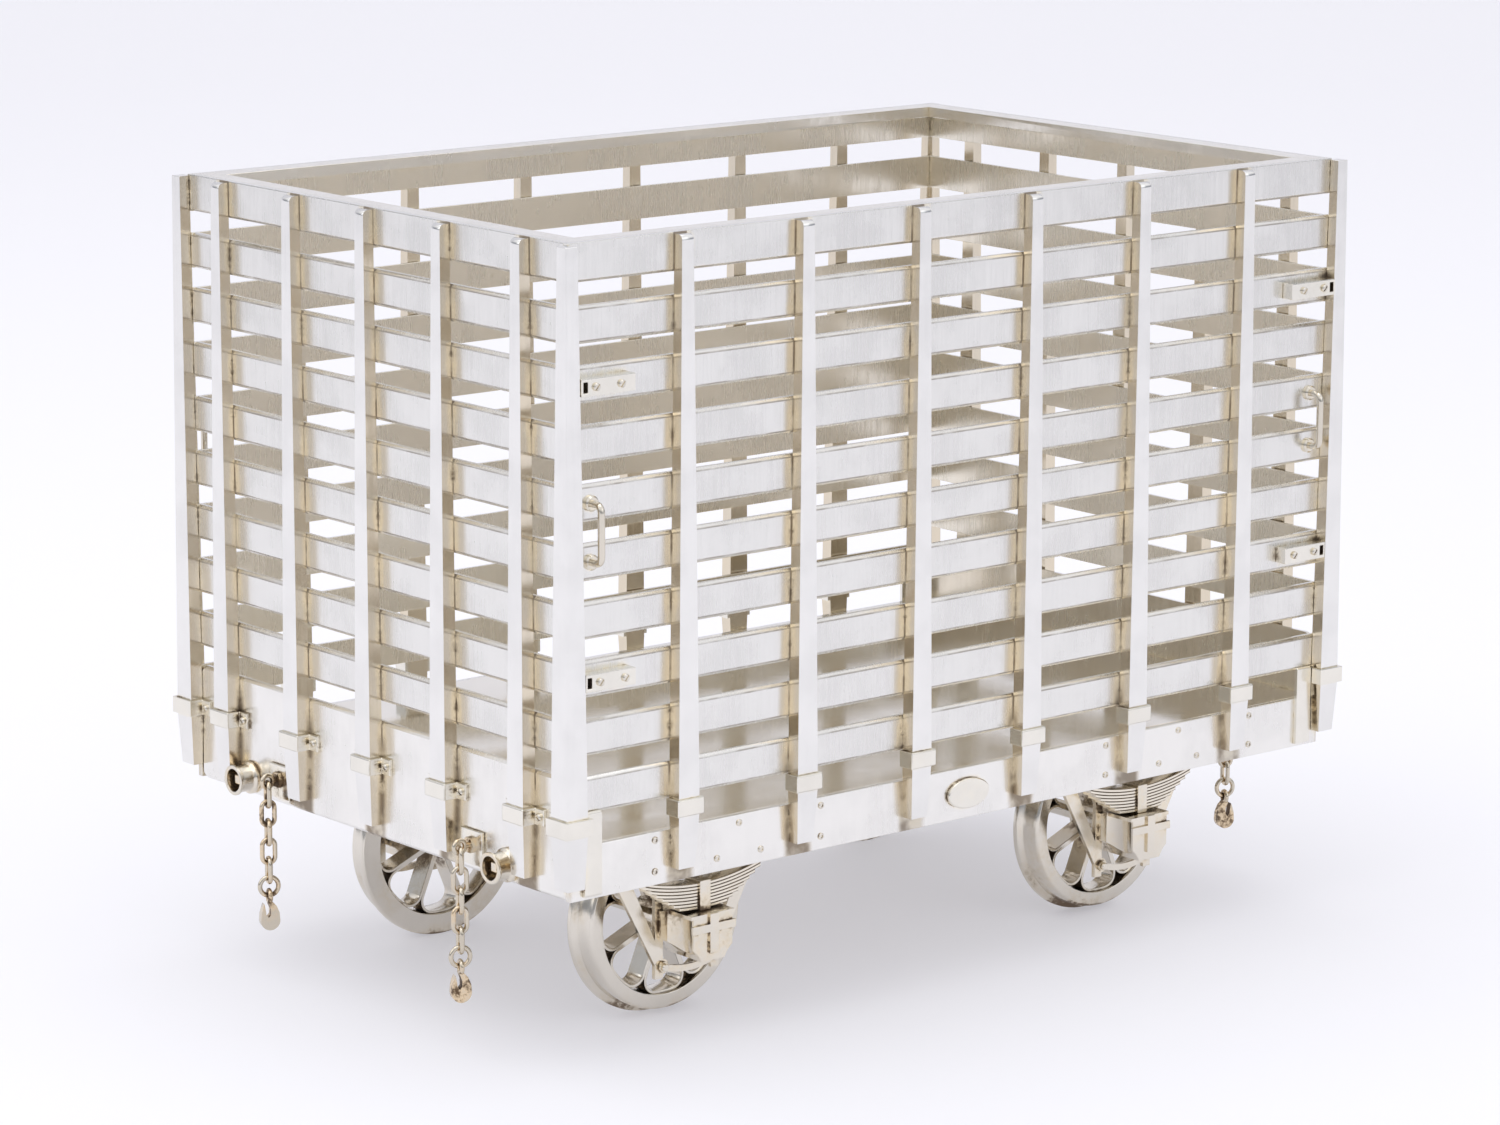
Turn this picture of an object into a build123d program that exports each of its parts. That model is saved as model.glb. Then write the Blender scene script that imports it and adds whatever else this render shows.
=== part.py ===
from build123d import *
import math
import os

# A four-wheeled railway goods wagon with high open-boarded sides, as a metal
# scale model of about 1:16. X runs along the wagon, Y across it, Z up.
# The origin lies midway between the wheels, on the surface they stand on.
# Front is +X, rear is -X, left is +Y and right is -Y. All sizes are in mm.

# ---- driving sizes: body ----
box_length = 303.8
box_width = 189.0
plate_thickness = 2.0
board_height = 10.8
board_gap = 6.1
board_bevel = 0.9
top_board_bevel = 0.15
side_board_count = 10
end_board_count = 9
top_board_height = 11.3
top_board_gap = 6.6
sill_height = 15.8
sill_to_board = 9.3
headstock_corner = 2.5
floor_thickness = 2.0
rim_width = 6.5
rim_height = 3.5

# ---- driving sizes: posts and their clips ----
side_post_count = 6
side_post_margin = 39.9
end_post_count = 5
end_post_margin = 19.8
post_top_width = 4.2
post_foot_width = 7.6
post_top_depth = 3.5
post_foot_depth = 4.5
post_tail_width = 6.2
post_tail_depth = 3.6
post_top_drop = 0.5
post_tail_lift = 4.3
post_top_round = 1.6
clip_height = 5.0
clip_lift = 4.5
clip_wall = 1.1
clip_bevel = 0.25
lug_length = 4.1
lug_thickness = 1.0
bolt_head_radius = 1.15
bolt_head_height = 0.9
bolt_slot_width = 0.45
bolt_slot_depth = 0.4
bolt_head_bevel = 0.3

# ---- driving sizes: fittings on the long sides ----
rivet_radius = 1.0
rivet_height = 0.5
rivet_dimple_radius = 0.5
rivet_dimple_depth = 0.25
rivet_bevel = 0.2
rivet_outside_post = 9.0
rivet_inside_post = 14.1
rivet_high_lift = 13.4
rivet_low_lift = 4.0
oval_length = 16.5
oval_bevel = 0.3
oval_height = 9.3
oval_thickness = 1.3
strap_length = 6.2
strap_depth = 1.3
strap_bottom_lift = 1.0
strap_top_lap = 0.9
strap_bevel = 0.5
bracket_reach = 20.6
bracket_height = 5.0
bracket_depth = 4.2
bracket_boards = (2, 7)
bracket_bolt_steps = (5.1, 14.1)
bracket_slot_length = 1.5
bracket_slot_height = 3.0
handle_inset = 7.6
handle_boards = (5, 4)
handle_rod_radius = 1.05
handle_standoff = 5.0
handle_bend = 2.2
handle_rose_radius = 2.3
handle_rose_thickness = 1.3
handle_rose_round = 0.45
same_radius = 0.01

# ---- driving sizes: fittings on the ends ----
buffer_from_post = 9.3
buffer_lift = 5.3
buffer_radius = 4.6
buffer_bore_radius = 3.5
buffer_length = 6.8
buffer_flange_radius = 5.1
buffer_flange_thickness = 1.2
buffer_lip_radius = 4.75
buffer_lip_thickness = 0.8
buffer_waist_cut = 0.5
buffer_waist_rise = 0.6
buffer_peg_size = 2.8
buffer_peg_recess = 1.6
chain_from_post = 11.65
chain_plate_size = 10.5
chain_plate_thickness = 1.0
chain_plate_lift = 7.2
eye_lift = 8.0
eye_nut_size = 4.4
eye_nut_thickness = 1.3
eye_ring_radius = 1.9
eye_neck = 1.0
eye_shank_share = 1.2
wire_radius = 0.72
link_length = 7.5
link_width = 4.0
link_slack = 0.1
link_count = 5
chain_turn = -20.0
end_ring_radius = 2.9
hook_eye_radius = 1.7
hook_radius = 3.0
hook_thickness = 2.8
hook_drop = 7.6
hook_shank_half = 0.75
hook_back = [(1.9, 4.6), (2.8, 2.4)]
hook_point = [(-2.85, 2.2), (-2.35, 4.0), (-1.85, 5.3)]
hook_throat = [(-1.5, 3.4), (-1.3, 1.9), (-0.6, 1.0), (0.1, 1.9), (0.05, 3.8)]

# ---- driving sizes: wheels and running gear ----
wheelbase = 179.2
floor_over_wheels = 5.6
flange_radius = 30.5
tread_radius = 28.5
tyre_bore_radius = 24.0
wheel_outer_face = 60.8
tyre_width = 9.3
flange_thickness = 2.1
tyre_bevel = 0.7
spoke_loop_count = 8
spoke_strip = 0.9
spoke_width = 7.2
spoke_corner = 4.5
flange_root = 1.2
flange_root_rise = 0.25
flange_bevel = 0.5
hub_radius = 5.2
hub_boss = 1.2
hub_back = 0.3
hub_bevel = 0.5
axle_radius = 2.5
journal_radius = 1.8
journal_length = 14.0
journal_clearance = 0.06
hub_to_guard = 7.2
guard_thickness = 1.4
guard_leg_inner = 9.2
guard_leg_width = 3.0
guard_brace_width = 5.0
brace_slant_share = 0.6
brace_foot_step = 1.2
guard_brace_reach = 27.2
guard_foot_reach = 9.5
guard_foot_drop = 11.6
guard_foot_radius = 2.4
guard_tail = 3.6
keep_height = 2.0
keep_sag = 1.6
keep_thickness = 1.2
keep_bolt_radius = 1.2
keep_bolt_height = 0.9
keep_bolt_bevel = 0.3
keep_eye_share = 0.8
frame_bar_width = 5.2
bearer_offset = 45.0
bearer_width = 6.0
bearer_height = 7.0
leaf_count = 8
leaf_thickness = 0.95
leaf_spacing = 1.0
leaf_width = 6.0
leaf_radius = 75.0
leaf_long_half = 24.0
leaf_short_half = 9.0
leaf_to_guard = 1.8
spring_seat = 0.5
buckle_width = 4.0
buckle_wall = 0.8
buckle_gap = 0.05
hanger_length = 3.0
box_half_width = 9.0
box_flange_reach = 2.0
box_flange_thickness = 1.3
box_rise = 5.8
box_drop = 8.5
box_neck_half_width = 5.6
box_nose_half_width = 7.4
box_nose_reach = 12.1
box_neck_reach = 6.0
box_foot_half_width = 4.4
box_lid_thickness = 1.1
box_back_reach = 4.6
box_strap_width = 3.2
box_strap_depth = 0.8
box_strap_lift = 2.5
box_cross_lift = 1.6
box_cross_height = 2.4
box_lid_inset = 0.8
box_neck_step = 0.4
box_nose_lip = 0.8
box_flange_drop = 3.0
box_shoulder_inset = 2.2
box_shoulder_drop = 5.2
journal_end_gap = 0.3
fitting_gap = 0.05
strap_gap = 0.2

# ---- levels and places worked out from the sizes ----
axle_height = flange_radius
floor_bottom = 2 * flange_radius + floor_over_wheels
sill_top = floor_bottom + floor_thickness
sill_bottom = sill_top - sill_height
board_base = sill_top + sill_to_board
board_pitch = board_height + board_gap
top_board_base = board_base + (side_board_count - 1) * board_pitch - board_gap + top_board_gap
box_top = top_board_base + top_board_height
headstock_top = board_base + board_height
half_length = box_length / 2
half_width = box_width / 2
inner_half_length = half_length - plate_thickness
inner_half_width = half_width - plate_thickness
post_top = box_top - post_top_drop
post_tail = sill_bottom + post_tail_lift
clip_bottom = sill_top + clip_lift
clip_top = clip_bottom + clip_height
side_post_pitch = (box_length - 2 * side_post_margin) / (side_post_count - 1)
end_post_pitch = (box_width - 2 * end_post_margin) / (end_post_count - 1)
buffer_offset = half_width - end_post_margin - buffer_from_post
chain_offset = half_width - end_post_margin - end_post_pitch + chain_from_post
guard_face = wheel_outer_face + hub_boss + hub_to_guard + guard_thickness
axle_places = (-wheelbase / 2, wheelbase / 2)
end_headings = {"rear": -90, "front": 90}
side_headings = {"right": 0, "left": 180}
corner_signs = [(-1, -1), (1, -1), (-1, 1), (1, 1)]


def write(piece, name):
    """Label a finished piece and write it as its own STEP file."""
    piece.label = name
    export_step(piece, f"parts/{name}.step")


def wall_place(heading, along, height):
    """Place on a wall whose outside faces -Y turned by the heading about Z."""
    reach = half_width if heading in side_headings.values() else half_length
    turned = Location((0, 0, 0), (0, 0, heading))
    return turned * Location((along, -reach, height))


def spread(count, pitch):
    """Evenly pitched places, centred on zero."""
    return [(i - (count - 1) / 2) * pitch for i in range(count)]


def board_level(index):
    """Underside of a board, counted upward from the lowest one as zero."""
    if index == side_board_count - 1:
        return top_board_base
    return board_base + index * board_pitch


# ---- boards of the four walls ----
def board(length, height, bevel_top):
    """One board along X: outer face at y=0, underside at z=0."""
    top_cut = board_bevel if bevel_top else top_board_bevel
    with BuildPart() as plank:
        with BuildSketch(Plane.YZ):
            with BuildLine():
                Polyline(
                    (board_bevel, 0),
                    (0, board_bevel),
                    (0, height - top_cut),
                    (top_cut, height),
                    (plate_thickness, height),
                    (plate_thickness, 0),
                    close=True,
                )
            make_face()
        extrude(amount=length / 2, both=True)
    return plank.part


def wall_of_boards(heading, length, lowest):
    """All boards of one wall, from the given board up to the top board."""
    plain = board(length, board_height, True)
    top = board(length, top_board_height, False)
    with BuildPart() as wall:
        for index in range(lowest, side_board_count):
            is_top = index == side_board_count - 1
            with Locations(wall_place(heading, 0, board_level(index))):
                add(top if is_top else plain)
    return wall.part


for side, heading in side_headings.items():
    write(wall_of_boards(heading, box_length, 0), f"boards_{side}")
first_end_board = side_board_count - end_board_count
for end, heading in end_headings.items():
    write(wall_of_boards(heading, 2 * inner_half_width, first_end_board), f"boards_{end}")

# ---- rim: four mitred bars inside the top edge ----
with BuildPart() as long_rim_bar:
    with BuildSketch(Plane.XY.offset(box_top - rim_height)):
        with BuildLine():
            Polyline(
                (-inner_half_length, -inner_half_width),
                (inner_half_length, -inner_half_width),
                (inner_half_length - rim_width, rim_width - inner_half_width),
                (rim_width - inner_half_length, rim_width - inner_half_width),
                close=True,
            )
        make_face()
    extrude(amount=rim_height)
with BuildPart() as short_rim_bar:
    with BuildSketch(Plane.XY.offset(box_top - rim_height)):
        with BuildLine():
            Polyline(
                (-inner_half_length, -inner_half_width),
                (-inner_half_length, inner_half_width),
                (rim_width - inner_half_length, inner_half_width - rim_width),
                (rim_width - inner_half_length, rim_width - inner_half_width),
                close=True,
            )
        make_face()
    extrude(amount=rim_height)
rim_bars = [
    long_rim_bar.part,
    mirror(long_rim_bar.part, about=Plane.XZ),
    short_rim_bar.part,
    mirror(short_rim_bar.part, about=Plane.YZ),
]
write(Compound(children=rim_bars), "top_rim")

# ---- floor, side sills and headstocks ----
with BuildPart() as floor_plate:
    with BuildSketch(Plane.XY.offset(floor_bottom)):
        Rectangle(2 * inner_half_length, 2 * inner_half_width)
    extrude(amount=floor_thickness)
write(floor_plate.part, "floor_plate")

for side, heading in side_headings.items():
    with BuildPart() as side_sill:
        with Locations(wall_place(heading, 0, sill_bottom)):
            Box(
                box_length,
                plate_thickness,
                sill_height,
                align=(Align.CENTER, Align.MIN, Align.MIN),
            )
    write(side_sill.part, f"sill_{side}")

with BuildPart() as headstock:
    with BuildSketch(Plane.XZ) as headstock_face:
        with Locations((0, (sill_bottom + headstock_top) / 2)):
            Rectangle(2 * inner_half_width, headstock_top - sill_bottom)
        fillet(headstock_face.vertices().group_by(Axis.Z)[0], headstock_corner)
    extrude(amount=-plate_thickness)
    outer_edges = headstock.edges().filter_by(Axis.X).group_by(Axis.Z)[-1].sort_by(Axis.Y)[0]
    chamfer(outer_edges, board_bevel)
for end, heading in end_headings.items():
    with BuildPart() as placed_headstock:
        with Locations(wall_place(heading, 0, 0)):
            add(headstock.part)
    write(placed_headstock.part, f"headstock_{end}")


# ---- posts ----
def post_depth(height):
    """How far a post stands out from the wall at a height above its clip."""
    share = (height - clip_top) / (post_top - clip_top)
    return post_foot_depth + (post_top_depth - post_foot_depth) * share


def post_width(height):
    """Width of a post at a height above its clip."""
    share = (height - clip_top) / (post_top - clip_top)
    return post_foot_width + (post_top_width - post_foot_width) * share


with BuildPart() as post:
    with BuildSketch(Plane.XZ):
        with BuildLine():
            Polyline(
                (-post_top_width / 2, post_top),
                (-post_foot_width / 2, clip_top),
                (-post_foot_width / 2, clip_bottom),
                (-post_tail_width / 2, post_tail),
                (post_tail_width / 2, post_tail),
                (post_foot_width / 2, clip_bottom),
                (post_foot_width / 2, clip_top),
                (post_top_width / 2, post_top),
                close=True,
            )
        make_face()
    extrude(amount=post_foot_depth)
    with BuildSketch(Plane.YZ) as post_side:
        with BuildLine():
            Polyline(
                (0, post_top),
                (-post_top_depth, post_top),
                (-post_foot_depth, clip_top),
                (-post_foot_depth, clip_bottom),
                (-post_tail_depth, post_tail),
                (0, post_tail),
                close=True,
            )
        make_face()
        fillet(post_side.vertices().sort_by(SortBy.DISTANCE)[-1], post_top_round)
    extrude(amount=post_foot_width, both=True, mode=Mode.INTERSECT)

for side, heading in side_headings.items():
    with BuildPart() as side_posts:
        places = spread(side_post_count, side_post_pitch)
        with Locations([wall_place(heading, x, 0) for x in places]):
            add(post.part)
    write(side_posts.part, f"posts_{side}")
for end, heading in end_headings.items():
    with BuildPart() as end_posts:
        places = spread(end_post_count, end_post_pitch)
        with Locations([wall_place(heading, y, 0) for y in places]):
            add(post.part)
    write(end_posts.part, f"posts_{end}")

# The corner post is an angle bar that wraps the outside of the box corner;
# it is made at the corner as if the box filled the quarter x > 0, y > 0.
corner_top_inner = post_top_width - post_top_depth
corner_foot_inner = post_foot_width - post_foot_depth
corner_tail_inner = post_tail_width - post_tail_depth
corner_outline = [
    (-post_top_depth, post_top),
    (-post_foot_depth, clip_top),
    (-post_foot_depth, clip_bottom),
    (-post_tail_depth, post_tail),
    (corner_tail_inner, post_tail),
    (corner_foot_inner, clip_bottom),
    (corner_foot_inner, clip_top),
    (corner_top_inner, post_top),
]
with BuildPart() as corner_post:
    with BuildSketch(Plane.XZ):
        with BuildLine():
            Polyline(corner_outline, close=True)
        make_face()
    extrude(amount=post_foot_width, both=True)
    with BuildSketch(Plane.YZ):
        with BuildLine():
            Polyline(corner_outline, close=True)
        make_face()
    extrude(amount=post_foot_width, both=True, mode=Mode.INTERSECT)
    with BuildSketch(Plane.XY.offset(post_tail)):
        Rectangle(post_foot_width, post_foot_width, align=(Align.MIN, Align.MIN))
    extrude(amount=post_top - post_tail, mode=Mode.SUBTRACT)
with BuildPart() as corner_posts:
    for sign_x, sign_y in corner_signs:
        heading = {(-1, -1): 0, (1, -1): 90, (1, 1): 180, (-1, 1): 270}[(sign_x, sign_y)]
        with Locations(Location((sign_x * half_length, sign_y * half_width, 0), (0, 0, heading))):
            add(corner_post.part)
write(corner_posts.part, "corner_posts")

# ---- clips that hold the posts ----
clip_half = post_foot_width / 2 + clip_wall
clip_reach = post_foot_depth + clip_wall
with BuildPart() as side_clip:
    with BuildSketch(Plane.XY.offset(clip_bottom)):
        with Locations((0, -clip_reach / 2)):
            Rectangle(2 * clip_half, clip_reach)
        with Locations((0, -post_foot_depth / 2)):
            Rectangle(post_foot_width, post_foot_depth, mode=Mode.SUBTRACT)
    extrude(amount=clip_height)
    clip_front = side_clip.faces().sort_by(Axis.Y)[0]
    chamfer(clip_front.edges(), clip_bevel)
with BuildPart() as end_clip:
    add(side_clip.part)
    with Locations(
        (clip_half + lug_length / 2, -lug_thickness / 2, clip_bottom + clip_height / 2),
        (-clip_half - lug_length / 2, -lug_thickness / 2, clip_bottom + clip_height / 2),
    ):
        Box(lug_length, lug_thickness, clip_height)
with BuildPart() as side_clips:
    for heading in side_headings.values():
        places = spread(side_post_count, side_post_pitch)
        with Locations([wall_place(heading, x, 0) for x in places]):
            add(side_clip.part)
write(side_clips.part, "side_clips")

corner_clip_inner = corner_foot_inner + clip_wall
with BuildPart() as corner_clip:
    with BuildSketch(Plane.XY.offset(clip_bottom)):
        with Locations((-clip_reach, -clip_reach)):
            Rectangle(
                clip_reach + corner_clip_inner,
                clip_reach + corner_clip_inner,
                align=(Align.MIN, Align.MIN),
            )
        with Locations((-post_foot_depth, -post_foot_depth)):
            Rectangle(
                post_foot_width,
                post_foot_width,
                align=(Align.MIN, Align.MIN),
                mode=Mode.SUBTRACT,
            )
        Rectangle(
            2 * post_foot_width,
            2 * post_foot_width,
            align=(Align.MIN, Align.MIN),
            mode=Mode.SUBTRACT,
        )
        with Locations((-lug_thickness, corner_clip_inner)):
            Rectangle(lug_thickness, lug_length, align=(Align.MIN, Align.MIN))
    extrude(amount=clip_height)
placed_corner_clip = Location((-half_length, -half_width, 0)) * corner_clip.part
with BuildPart() as end_clips:
    for heading in end_headings.values():
        places = spread(end_post_count, end_post_pitch)
        with Locations([wall_place(heading, y, 0) for y in places]):
            add(end_clip.part)
    add(placed_corner_clip)
    add(mirror(placed_corner_clip, about=Plane.XZ))
    add(mirror(placed_corner_clip, about=Plane.YZ))
    add(mirror(mirror(placed_corner_clip, about=Plane.YZ), about=Plane.XZ))
write(end_clips.part, "end_clips")

# ---- brackets at the corners of the long sides ----
bracket_levels = [board_level(side_board_count - 1 - k) + board_height / 2 for k in bracket_boards]


def bracket_start(level):
    """Distance from the wall's end to where a bracket meets the corner post."""
    lower_edge = level - bracket_height / 2
    return post_width(lower_edge) - post_depth(lower_edge) + fitting_gap


with BuildPart() as corner_brackets:
    for sign_x, sign_y in corner_signs:
        for level in bracket_levels:
            start = bracket_start(level)
            length = bracket_reach - start
            centre_x = sign_x * (half_length - start - length / 2)
            slot_x = sign_x * (half_length - start - bracket_slot_length)
            centre_y = sign_y * (half_width + bracket_depth / 2)
            with Locations((centre_x, centre_y, level)):
                Box(length, bracket_depth, bracket_height)
            with Locations((slot_x, centre_y, level)):
                Box(bracket_slot_length, bracket_depth, bracket_slot_height, mode=Mode.SUBTRACT)
write(corner_brackets.part, "corner_brackets")

# ---- slotted bolts of the clips and brackets ----
with BuildPart() as slotted_bolt:
    with BuildSketch(Plane.XZ):
        Circle(bolt_head_radius)
    extrude(amount=bolt_head_height)
    chamfer(slotted_bolt.edges().sort_by(Axis.Y)[0], bolt_head_bevel)
    with Locations((0, -bolt_head_height, 0)):
        Box(2 * bolt_head_radius, 2 * bolt_slot_depth, bolt_slot_width, mode=Mode.SUBTRACT)
lug_centre = clip_half + lug_length / 2
clip_middle = clip_bottom + clip_height / 2
corner_lug_place = half_width - corner_clip_inner - lug_length / 2
lug_face = Location((0, -lug_thickness, 0), (0, 35, 0))
bracket_face = Location((0, -bracket_depth, 0), (0, -50, 0))
bolt_places = []
for heading in end_headings.values():
    for y in spread(end_post_count, end_post_pitch):
        bolt_places.append(wall_place(heading, y + lug_centre, clip_middle) * lug_face)
        bolt_places.append(wall_place(heading, y - lug_centre, clip_middle) * lug_face)
    bolt_places.append(wall_place(heading, corner_lug_place, clip_middle) * lug_face)
    bolt_places.append(wall_place(heading, -corner_lug_place, clip_middle) * lug_face)
for heading in side_headings.values():
    for level in bracket_levels:
        for step in bracket_bolt_steps:
            from_end = bracket_start(level) + step
            for sign in (-1, 1):
                along = sign * (half_length - from_end)
                bolt_places.append(wall_place(heading, along, level) * bracket_face)
with BuildPart() as slotted_bolts:
    with Locations(bolt_places):
        add(slotted_bolt.part)
write(slotted_bolts.part, "slotted_bolts")

# ---- dimpled rivets on the side sills ----
with BuildPart() as rivet:
    with BuildSketch(Plane.XZ):
        Circle(rivet_radius)
    extrude(amount=rivet_height)
    chamfer(rivet.edges().sort_by(Axis.Y)[0], rivet_bevel)
    with BuildSketch(Plane.XZ.offset(rivet_height - rivet_dimple_depth)):
        Circle(rivet_dimple_radius)
    extrude(amount=rivet_dimple_depth, mode=Mode.SUBTRACT)
outer_post = half_length - side_post_margin
inner_post = outer_post - side_post_pitch
beside_posts = (inner_post - rivet_outside_post, outer_post + rivet_outside_post)
high_row = (*beside_posts, (inner_post + outer_post) / 2)
low_row = (*beside_posts, inner_post + rivet_inside_post, outer_post - rivet_inside_post)
rivet_places = []
for heading in side_headings.values():
    for sign in (-1, 1):
        for along in high_row:
            rivet_places.append(wall_place(heading, sign * along, sill_bottom + rivet_high_lift))
        for along in low_row:
            rivet_places.append(wall_place(heading, sign * along, sill_bottom + rivet_low_lift))
with BuildPart() as sill_rivets:
    with Locations(rivet_places):
        add(rivet.part)
write(sill_rivets.part, "sill_rivets")

# ---- blank oval plates in the middle of the side sills ----
with BuildPart() as oval_plates:
    for heading in side_headings.values():
        middle = wall_place(heading, 0, sill_bottom + sill_height / 2)
        with BuildSketch(Plane(middle) * Plane.XZ):
            Ellipse(oval_length / 2, oval_height / 2)
        extrude(amount=oval_thickness)
    chamfer(oval_plates.faces().sort_by(Axis.Y)[0].edges(), oval_bevel)
    chamfer(oval_plates.faces().sort_by(Axis.Y)[-1].edges(), oval_bevel)
write(oval_plates.part, "oval_plates")

# ---- straps that close the sill ends ----
strap_start = corner_clip_inner + strap_gap
strap_top = board_base + strap_top_lap
strap_bottom = sill_bottom + strap_bottom_lift
with BuildPart() as sill_straps:
    for sign_x, sign_y in corner_signs:
        centre_x = sign_x * (half_length - strap_start - strap_length / 2)
        centre_y = sign_y * (half_width + strap_depth / 2)
        with Locations((centre_x, centre_y, (strap_top + strap_bottom) / 2)):
            Box(strap_length, strap_depth, strap_top - strap_bottom)
    for outside in (0, -1):
        strap_faces = sill_straps.faces().filter_by(Axis.Y).group_by(Axis.Y)[outside]
        chamfer(strap_faces.edges().filter_by(Axis.X), strap_bevel)
write(sill_straps.part, "sill_straps")

# ---- grab handles on the long sides ----
handle_levels = [board_level(k) + board_height / 2 for k in handle_boards]
with BuildPart() as grab_handle:
    with BuildLine() as handle_path:
        FilletPolyline(
            (0, 0, handle_levels[0]),
            (0, -handle_standoff, handle_levels[0]),
            (0, -handle_standoff, handle_levels[1]),
            (0, 0, handle_levels[1]),
            radius=handle_bend,
        )
    with BuildSketch(Plane.XZ.offset(0)):
        with Locations((0, handle_levels[0])):
            Circle(handle_rod_radius)
    sweep(path=handle_path.wires()[0])
    with BuildSketch(Plane.XZ):
        with Locations((0, handle_levels[0]), (0, handle_levels[1])):
            Circle(handle_rose_radius)
    extrude(amount=handle_rose_thickness)
    rose_rims = grab_handle.edges().filter_by(
        lambda edge: edge.geom_type == GeomType.CIRCLE
        and abs(edge.radius - handle_rose_radius) < same_radius
        and edge.center().Y < -handle_rose_thickness / 2
    )
    chamfer(rose_rims, handle_rose_round)
with BuildPart() as grab_handles:
    handle_along = half_length - handle_inset
    for heading in side_headings.values():
        with Locations(wall_place(heading, handle_along, 0), wall_place(heading, -handle_along, 0)):
            add(grab_handle.part)
write(grab_handles.part, "grab_handles")

# ---- buffers ----
buffer_height = sill_bottom + buffer_lift
with BuildPart() as buffer:
    with BuildSketch(Plane.XY):
        with BuildLine():
            Polyline(
                (buffer_bore_radius, 0),
                (buffer_flange_radius, 0),
                (buffer_flange_radius, buffer_flange_thickness),
                (buffer_radius - buffer_waist_cut, buffer_flange_thickness + buffer_waist_rise),
                (buffer_radius - buffer_waist_cut, buffer_length - buffer_lip_thickness - buffer_waist_rise),
                (buffer_lip_radius, buffer_length - buffer_lip_thickness),
                (buffer_lip_radius, buffer_length),
                (buffer_bore_radius, buffer_length),
                close=True,
            )
        make_face()
    revolve(axis=Axis.Y)
buffer_turned = Location((0, 0, 0), (180, 0, 0)) * buffer.part
buffer_marks = []
for heading in end_headings.values():
    for along in (-buffer_offset, buffer_offset):
        buffer_marks.append(wall_place(heading, along, buffer_height))
with BuildPart() as buffers:
    with Locations(buffer_marks):
        add(buffer_turned)
write(buffers.part, "buffers")
with BuildPart() as buffer_pegs:
    with Locations(buffer_marks):
        Box(
            buffer_peg_size,
            buffer_length - buffer_peg_recess,
            buffer_peg_size,
            align=(Align.CENTER, Align.MAX, Align.CENTER),
        )
write(buffer_pegs.part, "buffer_pegs")

# ---- chain plates and eye bolts ----
plate_height = sill_bottom + chain_plate_lift
eye_height = sill_bottom + eye_lift
eye_standoff = chain_plate_thickness + eye_nut_thickness + eye_neck + eye_ring_radius
chain_marks = {}
for end, heading in end_headings.items():
    for side, along in {"right": -chain_offset, "left": chain_offset}.items():
        place = along if end == "front" else -along
        chain_marks[f"{end}_{side}"] = wall_place(heading, place, 0)
with BuildPart() as chain_plates:
    for mark in chain_marks.values():
        with Locations(mark * Location((0, 0, plate_height))):
            Box(
                chain_plate_size,
                chain_plate_thickness,
                chain_plate_size,
                align=(Align.CENTER, Align.MAX, Align.CENTER),
            )
write(chain_plates.part, "chain_plates")
with BuildPart() as eye_bolt:
    with BuildSketch(Plane.XZ.offset(chain_plate_thickness)):
        RegularPolygon(eye_nut_size / 2, 6, major_radius=False)
    extrude(amount=eye_nut_thickness)
    with BuildSketch(Plane.XZ.offset(chain_plate_thickness)):
        Circle(wire_radius * eye_shank_share)
    extrude(amount=eye_standoff - eye_ring_radius - chain_plate_thickness)
    with Locations(Location((0, -eye_standoff, 0), (0, 90, 0))):
        Torus(eye_ring_radius, wire_radius)
with BuildPart() as eye_bolts:
    for mark in chain_marks.values():
        with Locations(mark * Location((0, 0, eye_height))):
            add(eye_bolt.part)
write(eye_bolts.part, "eye_bolts")


# ---- safety chains: five links, a ring and a hook on each eye ----
def hanging_link(plane):
    """A link in an upright plane, its top wire centre at the origin."""
    end_radius = link_width / 2
    straight = link_length / 2 - end_radius
    middle = -link_length / 2
    with BuildPart() as link:
        with BuildLine(plane) as loop:
            Line((-end_radius, middle - straight), (-end_radius, middle + straight))
            ThreePointArc(
                (-end_radius, middle + straight),
                (0, 0),
                (end_radius, middle + straight),
            )
            Line((end_radius, middle + straight), (end_radius, middle - straight))
            ThreePointArc(
                (end_radius, middle - straight),
                (0, -link_length),
                (-end_radius, middle - straight),
            )
        start = loop.wires()[0] ^ 0
        with BuildSketch(start):
            Circle(wire_radius)
        sweep(path=loop.wires()[0])
    return link.part


wire_crossing = 2 * wire_radius + link_slack
link_pitch = link_length - wire_crossing
first_link_top = eye_height - eye_ring_radius + wire_crossing
link_tops = [first_link_top - i * link_pitch for i in range(link_count)]
ring_top = first_link_top - link_count * link_pitch
ring_centre = ring_top - end_ring_radius
hook_top = ring_centre - end_ring_radius + wire_crossing
hook_eye_centre = hook_top - hook_eye_radius
hook_centre = hook_eye_centre - hook_drop
flat_link = hanging_link(Plane.XZ)
cross_link = hanging_link(Plane.YZ)
with BuildPart() as end_ring:
    with Locations(Location((0, 0, ring_centre), (0, 90, 0))):
        Torus(end_ring_radius, wire_radius)
shank_end = hook_drop - hook_eye_radius
shank_top = [(-hook_shank_half, shank_end), (hook_shank_half, shank_end)]
hook_outline = [*hook_point, *hook_throat, *shank_top, *hook_back]
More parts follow.
